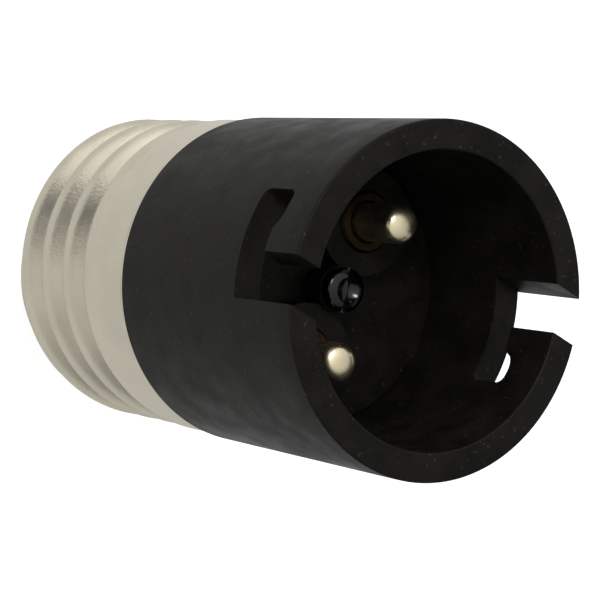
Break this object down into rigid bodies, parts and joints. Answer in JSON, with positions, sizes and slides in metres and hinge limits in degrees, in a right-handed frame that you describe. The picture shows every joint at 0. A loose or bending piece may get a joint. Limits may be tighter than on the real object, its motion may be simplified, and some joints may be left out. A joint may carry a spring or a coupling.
{
  "type": "lamp socket adapter",
  "caption": "Edison screw to bayonet lamp socket adapter: black moulded barrel with J-slots and sprung brass contact plungers on a nickel plated screw shell.",
  "frame": {"origin": "centre of the flat face of the centre contact, at the bottom of the part", "axes": "+Z along the adapter axis, out of the bayonet mouth; +X in the direction of the locked lamp pins; Y through the two contact plungers"},
  "size_m": [0.0274, 0.0274, 0.0488],
  "materials": {
    "moulding": "black moulded thermoplastic with a faint satin sheen",
    "tip_moulding": "black moulded insulator",
    "screw_steel": "bright nickel plated screw",
    "plain_brass": "plain stamped brass",
    "bush_brass": "turned brass, slightly dull",
    "plunger_brass": "polished pale brass",
    "spring_steel": "bare spring wire",
    "wire_copper": "tinned copper wire",
    "sleeve": "woven glass sleeve",
    "shell_plate": "satin nickel plated rolled brass sheet",
    "contact_plate": "satin nickel plated brass"
  },
  "bodies": {
    "adapter": {"adapter_body": "moulding", "contact_block": "moulding", "block_screw": "screw_steel", "block_nut": "plain_brass", "bush_live": "bush_brass", "bush_neutral": "bush_brass", "spring_live": "spring_steel", "spring_neutral": "spring_steel", "tag_live": "plain_brass", "tag_neutral": "plain_brass", "lead_live": "wire_copper", "lead_neutral": "wire_copper", "sleeve_live": "sleeve", "sleeve_neutral": "sleeve", "screw_shell": "shell_plate", "tip_insulator": "tip_moulding", "centre_contact": "contact_plate", "contact_tag": "plain_brass"},
    "live_plunger": {"plunger_live": "plunger_brass"},
    "neutral_plunger": {"plunger_neutral": "plunger_brass"}
  },
  "joints": [
    {"name": "live_plunger_slide", "type": "slide", "parent": "adapter", "child": "live_plunger", "axis": [0, 0, -1], "range_m": [0, 0.0035], "stiffness_N_per_m": 500, "springref_m": -0.004, "deforming": ["spring_live"]},
    {"name": "neutral_plunger_slide", "type": "slide", "parent": "adapter", "child": "neutral_plunger", "axis": [0, 0, -1], "range_m": [0, 0.0035], "stiffness_N_per_m": 500, "springref_m": -0.004, "deforming": ["spring_neutral"]}
  ]
}
